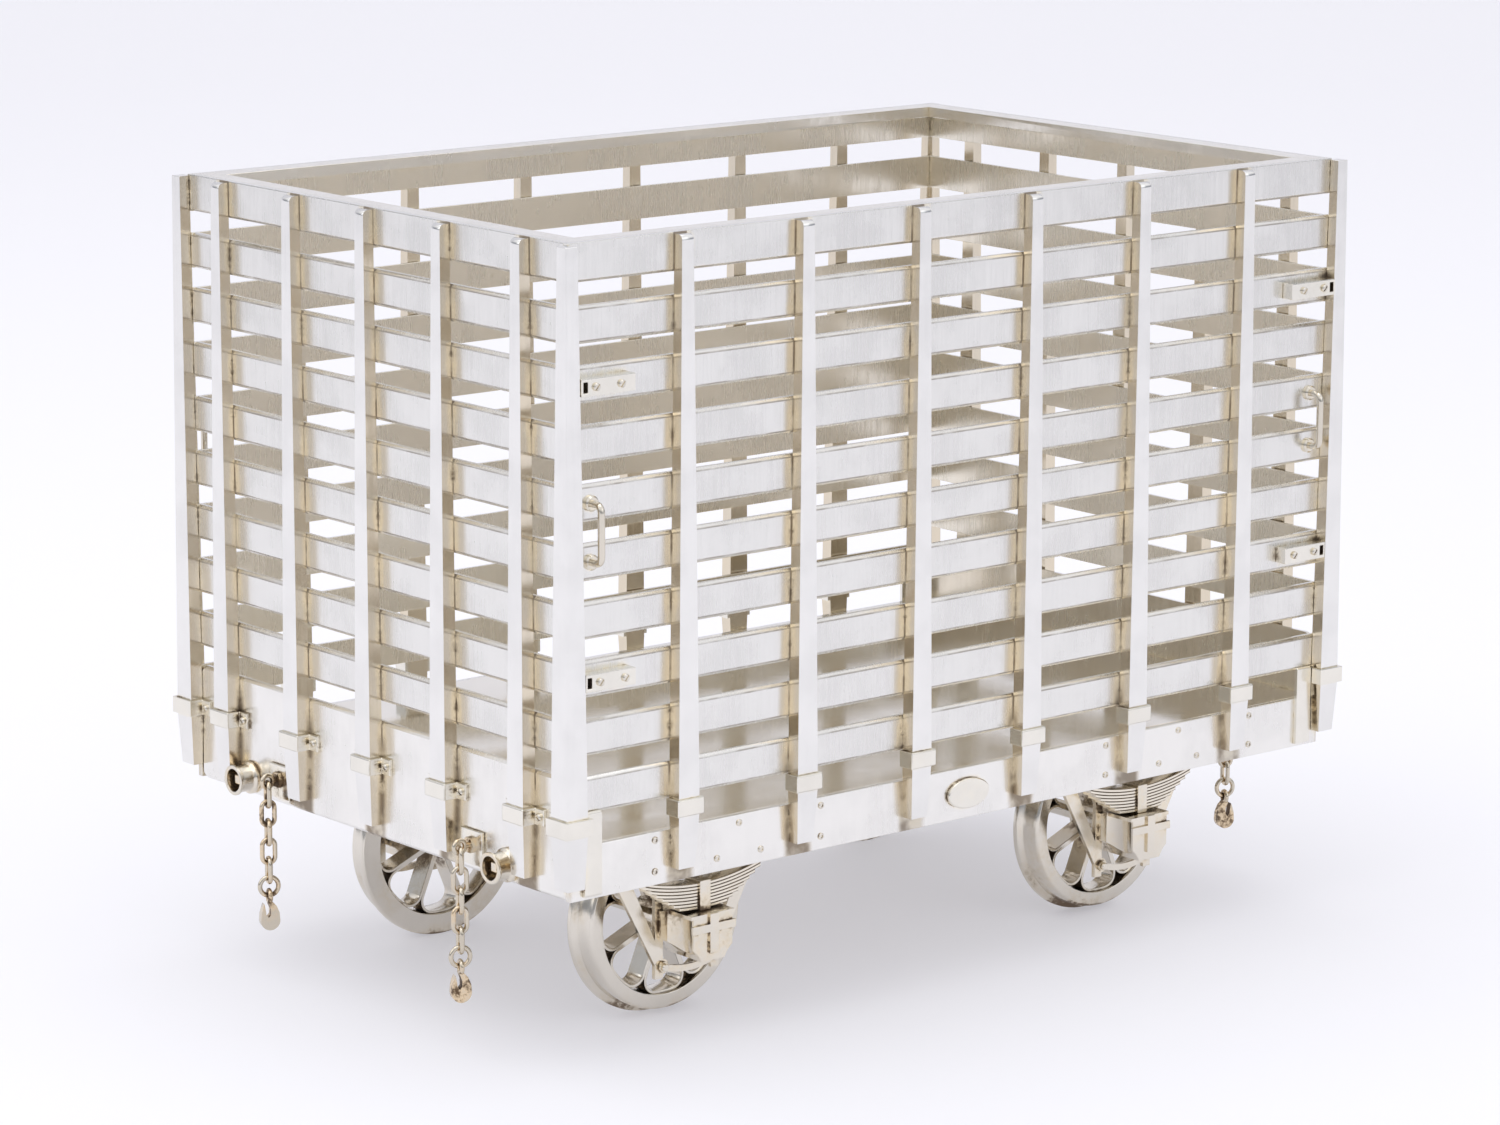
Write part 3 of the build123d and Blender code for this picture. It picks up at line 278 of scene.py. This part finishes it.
def beside_posts(axis, first, pitch, scribed=False):
    """Marks on a wall, measured from its posts.

    Brown runs along the posts and straw beyond it. On a scribed wall a thin
    dark line follows the two bevels of each board.
    """

    def build(tree, cover):
        outward = cover.outputs["Outward"]
        spot = add_node(tree, "ShaderNodeTexCoord", (-2300, 500))
        split = add_node(tree, "ShaderNodeSeparateXYZ", (-2100, 500))
        tree.links.new(spot.outputs["Object"], split.inputs[0])
        height = split.outputs["Z"]
        blur = add_node(tree, "ShaderNodeTexNoise", (-1900, 300), Scale=130.0, Detail=3.0)
        tree.links.new(spot.outputs["Object"], blur.inputs["Vector"])
        broken = remap(tree, (-1100, 100), blur.outputs["Fac"], *break_range, *break_gain)
        half = []
        for low, high, low_half, high_half in (
            (post_foot, post_head, post_foot_half, post_head_half),
            (tail_foot, post_foot, tail_half, post_foot_half),
        ):
            taper = add_node(tree, "ShaderNodeMapRange", (-1900, 700))
            tree.links.new(height, taper.inputs["Value"])
            taper.inputs["From Min"].default_value = low
            taper.inputs["From Max"].default_value = high
            taper.inputs["To Min"].default_value = low_half
            taper.inputs["To Max"].default_value = high_half
            half.append(taper.outputs["Result"])
        along = maths(tree, (-1900, 500), "SUBTRACT", split.outputs[axis], first)
        folded = maths(tree, (-1700, 500), "PINGPONG", along, pitch / 2)
        half_post = maths(tree, (-1500, 700), "MINIMUM", *half)
        from_post = maths(tree, (-1300, 500), "SUBTRACT", folded, half_post)
        wide = maths(tree, (-1300, 300), "MULTIPLY", blur.outputs["Fac"], halo_reach)
        near = add_node(tree, "ShaderNodeMapRange", (-1100, 500), interpolation_type="SMOOTHSTEP")
        tree.links.new(from_post, near.inputs["Value"])
        tree.links.new(wide, near.inputs["From Max"])
        near.inputs["To Min"].default_value = halo_strength
        near.inputs["To Max"].default_value = 0.0
        halo = maths(tree, (-700, 500), "MULTIPLY", near.outputs["Result"], outward)
        seam = remap(tree, (-1100, 900), from_post, *seam_from_post, 1.0, 0.0)
        foot = maths(
            tree, (-900, 1100), "MULTIPLY",
            remap(tree, (-1100, 1100), from_post, *foot_stain_from_post, 1.0, 0.0),
            remap(tree, (-1100, 1300), height, post_foot, post_foot + foot_stain_height, 1.0, 0.0),
        )
        line = maths(tree, (-700, 900), "MAXIMUM", seam, foot)
        if scribed:
            rise = maths(tree, (-1900, 1500), "SUBTRACT", height, board_foot)
            step = maths(tree, (-1700, 1500), "MODULO", rise, board_pitch)
            above_low = maths(tree, (-1600, 1400), "SUBTRACT", step, bevel_depth)
            above_high = maths(tree, (-1600, 1600), "SUBTRACT", step, board_depth - bevel_depth)
            from_line = maths(
                tree, (-1300, 1500), "MINIMUM",
                maths(tree, (-1500, 1400), "ABSOLUTE", above_low),
                maths(tree, (-1500, 1600), "ABSOLUTE", above_high),
            )
            thin = remap(tree, (-1100, 1500), from_line, *bevel_line, bevel_line_strength, 0.0)
            under_top = remap(tree, (-1100, 1700), height, under_top_board, foot_of_top_board, 1.0, 0.0)
            bevels = maths(tree, (-900, 1500), "MULTIPLY", thin, under_top)
            line = maths(tree, (-500, 900), "MAXIMUM", line, bevels)
        broken_line = maths(tree, (-500, 800), "MULTIPLY", line, broken)
        line = maths(tree, (-400, 900), "MULTIPLY", broken_line, outward)
        return line, halo

    return build


sharp_angle = math.radians(32)


def soften(node, width):
    """Welds a CAD piece's split corners and rounds its edges by a hair, as a file and cloth do."""
    weld = node.modifiers.new("Weld", "WELD")
    weld.merge_threshold = weld_reach
    bevel = node.modifiers.new("Soft edges", "BEVEL")
    bevel.limit_method = "ANGLE"
    bevel.angle_limit = sharp_angle
    bevel.width = width
    bevel.segments = 2
    bevel.harden_normals = False


def dress(name, material, rounding=edge_softness):
    """Gives a CAD piece its finish and rounds its edges."""
    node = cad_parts[name]
    node.data.materials.clear()
    node.data.materials.append(material)
    if rounding:
        soften(node, rounding)
    return node


side_pitch = 2 * (half_length - side_margin) / (side_count - 1)
end_pitch = 2 * (half_width - end_margin) / (end_count - 1)
first_side_post, first_end_post = -half_length + side_margin, -half_width + end_margin
board_finish = {
    "clean": (0.80, 0.79, 0.765), "rough": 0.21, "stretch": (1300, 1300, 45), "stroke_depth": 0.06,
    "warm": (0.84, 0.785, 0.68),
}
long_board_silver = silver(
    "Rubbed silver, long boards", **board_finish,
    marks=beside_posts("X", first_side_post, side_pitch, scribed=True),
)
short_board_silver = silver(
    "Rubbed silver, end boards", **board_finish,
    marks=beside_posts("Y", first_end_post, end_pitch, scribed=True),
)
for name in ("boards_left", "boards_right"):
    dress(name, long_board_silver)
for name in ("boards_front", "boards_rear"):
    dress(name, short_board_silver)

# ---------------------------------------------------------------------------
# Headstocks and side sills.
# Wider plates at the foot of the walls, finished like the boards, with a
# softer, less scratched face.
# ---------------------------------------------------------------------------
plate_finish = {
    "clean": (0.86, 0.845, 0.815), "rough": 0.19, "stretch": (600, 600, 60), "stroke_depth": 0.06,
    "warm": (0.76, 0.69, 0.57),
}
sill_silver = silver(
    "Silver, sills", **plate_finish, marks=beside_posts("X", first_side_post, side_pitch)
)
headstock_silver = silver(
    "Silver, headstocks", **plate_finish, marks=beside_posts("Y", first_end_post, end_pitch)
)
for name in ("sill_left", "sill_right"):
    dress(name, sill_silver)
for name in ("headstock_front", "headstock_rear"):
    dress(name, headstock_silver)

# ---------------------------------------------------------------------------
# Posts.
# Tapered bars filed from silver and polished on their faces; faces that don't
# face outward or up are coloured darker and warmer.
# ---------------------------------------------------------------------------
post_silver = silver(
    "Polished silver, posts", clean=(0.84, 0.83, 0.81), rough=0.15, stretch=(900, 900, 30),
    stroke_depth=0.06, reach=0.0045, brown=0.9, warm=(0.74, 0.655, 0.52),
)
for name in ("posts_left", "posts_right", "posts_front", "posts_rear", "corner_posts"):
    dress(name, post_silver)

# ---------------------------------------------------------------------------
# Rim.
# Four bars, mitred at the corners and soldered inside the top boards.
# ---------------------------------------------------------------------------
rim_silver = silver(
    "Silver, rim", clean=(0.86, 0.83, 0.77), rough=0.18, stretch=(500, 500, 200),
    stroke_depth=0.15, reach=0.006, straw=0.9, brown=0.9, patina=0.12,
)
dress("top_rim", rim_silver)

# ---------------------------------------------------------------------------
# Floor plate, inner frame bars and spring hangers.
# Sheet and bar silver that was never rubbed with strokes: the floor is smooth
# and mirror-like, and the frame under it is warm and dull.
# ---------------------------------------------------------------------------
floor_silver = silver(
    "Mirror silver, floor", clean=(0.90, 0.86, 0.79), rough=0.10, stretch=(60, 60, 60),
    stroke_depth=0.08, patch_size=25.0, straw=0.9, patina=0.15,
)
frame_silver = silver(
    "Dull silver, underframe", clean=(0.74, 0.68, 0.57), rough=0.30, stretch=(300, 300, 300),
    stroke_depth=0.3, reach=0.01, patina=0.25,
)
dress("floor_plate", floor_silver)
for name in ("frame_bars", "spring_hangers"):
    dress(name, frame_silver)

# ---------------------------------------------------------------------------
# Clips, end straps and brackets.
# Small bent straps and plates, soldered over the posts; a dark line is painted
# above and below each one, partly solder and partly painted shade.
# ---------------------------------------------------------------------------
clip_silver = silver(
    "Silver, clips", clean=(0.84, 0.81, 0.74), rough=0.16, stretch=(400, 400, 400),
    stroke_depth=0.15, reach=0.004, brown=1.0, patina=0.2,
)
for name in ("side_clips", "end_clips", "sill_straps", "corner_brackets"):
    dress(name, clip_silver)

# ---------------------------------------------------------------------------
# Rivets, slotted bolts and the blank oval plates.
# Turned heads with a dark ring round each, partly polish that gathers there and
# partly painted shade. The oval plates are finished like the clips.
# ---------------------------------------------------------------------------
head_silver = silver(
    "Silver, bolt heads", clean=(0.74, 0.70, 0.63), rough=0.18, stretch=(600, 600, 600),
    stroke_depth=0.2, reach=0.0016, brown=1.0, patina=0.15,
)
for name in ("sill_rivets", "slotted_bolts"):
    dress(name, head_silver, rounding=0)
dress("oval_plates", clip_silver)

# ---------------------------------------------------------------------------
# Grab handles.
# Round wire bent to a C, each end soldered into a small disc.
# ---------------------------------------------------------------------------
handle_silver = silver(
    "Silver wire, handles", clean=(0.72, 0.67, 0.58), rough=0.14, stretch=(400, 400, 400),
    stroke_depth=0.2, reach=0.0035, brown=1.0, patina=0.2,
)
dress("grab_handles", handle_silver, rounding=0)

# ---------------------------------------------------------------------------
# Buffers and their pegs.
# Turned hollow bosses with a flange at each end, round a square peg.
# ---------------------------------------------------------------------------
buffer_silver = silver(
    "Turned silver, buffers", clean=(0.74, 0.69, 0.60), rough=0.16, stretch=(500, 500, 500),
    stroke_depth=0.3, reach=0.003, brown=0.9, patina=0.4, straw_colour=(0.88, 0.70, 0.45),
)
for name in ("buffers", "buffer_pegs"):
    dress(name, buffer_silver)

# ---------------------------------------------------------------------------
# Chain plates, eye bolts and the four hook chains.
# Drawn wire links, closed by hand; straw and brown are painted between their
# bright outer bends, partly as marks of handling and old solder, partly as painted shade.
# ---------------------------------------------------------------------------
hook_softness = 0.0006
chain_silver = silver(
    "Silver wire, chains", clean=(0.64, 0.58, 0.48), rough=0.15, stretch=(500, 500, 500),
    stroke_depth=0.3, reach=0.003, straw=0.95, brown=1.0, patina=0.6, straw_colour=(0.80, 0.63, 0.42),
)
dress("chain_plates", clip_silver)
dress("eye_bolts", chain_silver, rounding=0)
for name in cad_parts:
    if name.startswith("chain_") and name != "chain_plates":
        dress(name, chain_silver, rounding=hook_softness if name.endswith("_hook") else 0)

# ---------------------------------------------------------------------------
# Wheels and axles.
# Turned tyres with a flange on the inner side, round eight strip loops that
# form split spokes; the tyre faces are turned, the spokes left as bent.
# ---------------------------------------------------------------------------
wheel_silver = silver(
    "Turned silver, wheels", clean=(0.74, 0.70, 0.63), rough=0.15, stretch=(300, 300, 300),
    stroke_depth=0.12, reach=0.007, brown=0.9, patina=0.35, straw_colour=(0.70, 0.62, 0.49),
)
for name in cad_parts:
    if name.startswith("wheel_"):
        dress(name, wheel_silver)
for name in ("axle_front", "axle_rear"):
    dress(name, wheel_silver)

# ---------------------------------------------------------------------------
# Axle guards, keeps, springs, buckles and axleboxes.
# Cut plate, bent leaves and cast boxes, the darkest part of the model, with
# painted shade between the leaves and brown round the boxes, partly tarnish and partly painted shade.
# ---------------------------------------------------------------------------
gear_silver = silver(
    "Silver, running gear", clean=(0.80, 0.75, 0.66), rough=0.15, stretch=(300, 300, 300),
    stroke_depth=0.15, reach=0.006, brown=1.0, patina=0.35, straw_colour=(0.84, 0.72, 0.52),
)
leaf_softness = 0.00015
leaf_pitch, leaf_bottom_radius, leaf_centre_height, wheel_reach = 0.001, 0.08295, 0.11975, 0.0896
leaf_seam, facing_sideways = (0.00010, 0.00026), (0.5, 0.8)


def between_leaves(tree, _cover):
    """Painted shade: dark brown lines in the seams between the leaves, seen on their long edges."""
    spot = add_node(tree, "ShaderNodeTexCoord", (-1900, 500))
    split = add_node(tree, "ShaderNodeSeparateXYZ", (-1700, 500))
    tree.links.new(spot.outputs["Object"], split.inputs[0])
    side = add_node(tree, "ShaderNodeSeparateXYZ", (-1700, 200))
    tree.links.new(spot.outputs["Normal"], side.inputs[0])
    from_middle = maths(tree, (-1550, 600), "ABSOLUTE", split.outputs["X"])
    along = maths(tree, (-1400, 600), "SUBTRACT", from_middle, wheel_reach)
    under = maths(tree, (-1400, 400), "SUBTRACT", leaf_centre_height, split.outputs["Z"])
    along_squared = maths(tree, (-1250, 600), "MULTIPLY", along, along)
    under_squared = maths(tree, (-1250, 400), "MULTIPLY", under, under)
    squared = maths(tree, (-1100, 500), "ADD", along_squared, under_squared)
    from_centre = maths(tree, (-950, 500), "SQRT", squared)
    depth = maths(tree, (-800, 500), "SUBTRACT", leaf_bottom_radius, from_centre)
    seam = maths(tree, (-650, 500), "PINGPONG", depth, leaf_pitch / 2)
    # Painted shade: the seams between the leaves are painted dark.
    painted_seam_shade = remap(tree, (-500, 500), seam, *leaf_seam, 1.0, 0.0)
    sideways = maths(tree, (-650, 200), "ABSOLUTE", side.outputs["Y"])
    edge = remap(tree, (-500, 200), sideways, *facing_sideways)
    return (maths(tree, (-300, 500), "MULTIPLY", painted_seam_shade, edge),)


leaf_silver = silver(
    "Silver, spring leaves", clean=(0.86, 0.80, 0.69), rough=0.18, stretch=(300, 300, 300),
    stroke_depth=0.1, reach=0.003, brown=1.0, patina=0.2, marks=between_leaves,
)
for name in ("axle_guards", "guard_keeps", "axleboxes", "spring_buckles"):
    dress(name, gear_silver)
dress("leaf_springs", leaf_silver, rounding=leaf_softness)

# ---------------------------------------------------------------------------
# Table and backdrop.
# One pale sweep of paper that runs under the wagon and up behind it. It isn't
# part of the object.
# ---------------------------------------------------------------------------
sweep_front, back_start, back_radius, sweep_half, sweep_top = -4.0, 2.2, 1.2, 6.0, 5.0
bend_steps = 16
paper_glow = 0.40
paper_dark, paper_light = (0.50, 0.50, 0.52), (0.52, 0.52, 0.54)
camera_place = Vector((-0.9908, -1.1772, 0.4402))
look = Vector((0.62755, 0.75084, -0.20602)).normalized()
behind = Vector((look.x, look.y, 0)).normalized()
across = Vector((behind.y, -behind.x, 0))
profile = [(sweep_front, 0.0), (back_start, 0.0)]
for step in range(1, bend_steps + 1):
    angle = math.radians(90 * step / bend_steps)
    profile.append((back_start + back_radius * math.sin(angle), back_radius * (1 - math.cos(angle))))
profile.append((back_start + back_radius, sweep_top))
sweep_points, sweep_faces = [], []
for distance, height in profile:
    for side in (-sweep_half, sweep_half):
        point = behind * distance + across * side
        sweep_points.append((point.x, point.y, height))
for step in range(len(profile) - 1):
    first = 2 * step
    sweep_faces.append((first, first + 1, first + 3, first + 2))
sweep_mesh = bpy.data.meshes.new("pale_sweep")
sweep_mesh.from_pydata(sweep_points, [], sweep_faces)
sweep_mesh.shade_smooth()
sweep = bpy.data.objects.new("pale_sweep", sweep_mesh)
bpy.context.scene.collection.objects.link(sweep)
paper = bpy.data.materials.new("Pale paper")
paper.use_nodes = True
paper_tree = paper.node_tree
paper_shader = paper_tree.nodes["Principled BSDF"]
paper_shader.inputs["Roughness"].default_value = 0.75
paper_shader.inputs["Specular IOR Level"].default_value = 0.25
paper_shader.inputs["Emission Color"].default_value = (0.95, 0.94, 1.0, 1)
paper_shader.inputs["Emission Strength"].default_value = paper_glow
paper_grain = add_node(paper_tree, "ShaderNodeTexNoise", (-600, 0), Scale=3.0, Detail=2.0)
paper_tree.links.new(
    mix_colour(paper_tree, (-300, 0), paper_grain.outputs["Fac"], paper_dark, paper_light),
    paper_shader.inputs["Base Color"],
)
sweep.data.materials.append(paper)

# ---------------------------------------------------------------------------
# Light and camera.
# A dim floor and a bright sky round the table, three softboxes, and a long
# lens that looks at one corner of the wagon.
# ---------------------------------------------------------------------------
sky_low, sky_high, sky_full_height = (0.26, 0.28, 0.32), (1.0, 1.0, 1.03), 0.55
world = bpy.data.worlds.new("Studio")
world.use_nodes = True
sky = world.node_tree
sky_place = add_node(sky, "ShaderNodeTexCoord", (-900, 0))
sky_split = add_node(sky, "ShaderNodeSeparateXYZ", (-700, 0))
sky.links.new(sky_place.outputs["Generated"], sky_split.inputs[0])
sky_height = remap(sky, (-500, 0), sky_split.outputs["Z"], 0.0, sky_full_height)
sky.links.new(
    mix_colour(sky, (-300, 0), sky_height, sky_low, sky_high),
    sky.nodes["Background"].inputs["Color"],
)
sky.nodes["Background"].inputs["Strength"].default_value = 1.0
bpy.context.scene.world = world


def softbox(name, place, target, size, power, colour):
    """A large rectangular lamp pointed at a spot."""
    lamp = bpy.data.lights.new(name, "AREA")
    lamp.shape = "RECTANGLE"
    lamp.size, lamp.size_y = size
    lamp.energy = power
    lamp.color = colour
    holder = bpy.data.objects.new(name, lamp)
    holder.location = place
    holder.rotation_euler = (Vector(target) - Vector(place)).to_track_quat("-Z", "Y").to_euler()
    bpy.context.scene.collection.objects.link(holder)


softbox("overhead_box", (-0.2, 0.1, 1.9), (0, 0, 0.1), (2.2, 2.2), 14, (1.0, 0.99, 0.97))
softbox("left_box", (-1.9, 0.5, 1.0), (0, 0, 0.12), (1.6, 1.4), 5, (1.0, 1.0, 1.0))
softbox("right_box", (0.6, -2.0, 0.9), (0, 0, 0.12), (1.8, 1.4), 4, (0.98, 0.99, 1.0))

roll = 0.0043
right = Vector((look.y, -look.x, 0)).normalized()
upward = right.cross(look)
turned_right = math.cos(roll) * right + math.sin(roll) * upward
turned_up = -math.sin(roll) * right + math.cos(roll) * upward
camera = bpy.data.objects.new("camera", bpy.data.cameras.new("camera"))
camera.data.sensor_width = 36
camera.data.lens = 119.93
camera.data.clip_end = 50
camera.matrix_world = Matrix.Translation(camera_place) @ Matrix(
    (turned_right, turned_up, -look)
).transposed().to_4x4()
bpy.context.scene.collection.objects.link(camera)
bpy.context.scene.camera = camera
bpy.context.scene.view_settings.view_transform = "Standard"
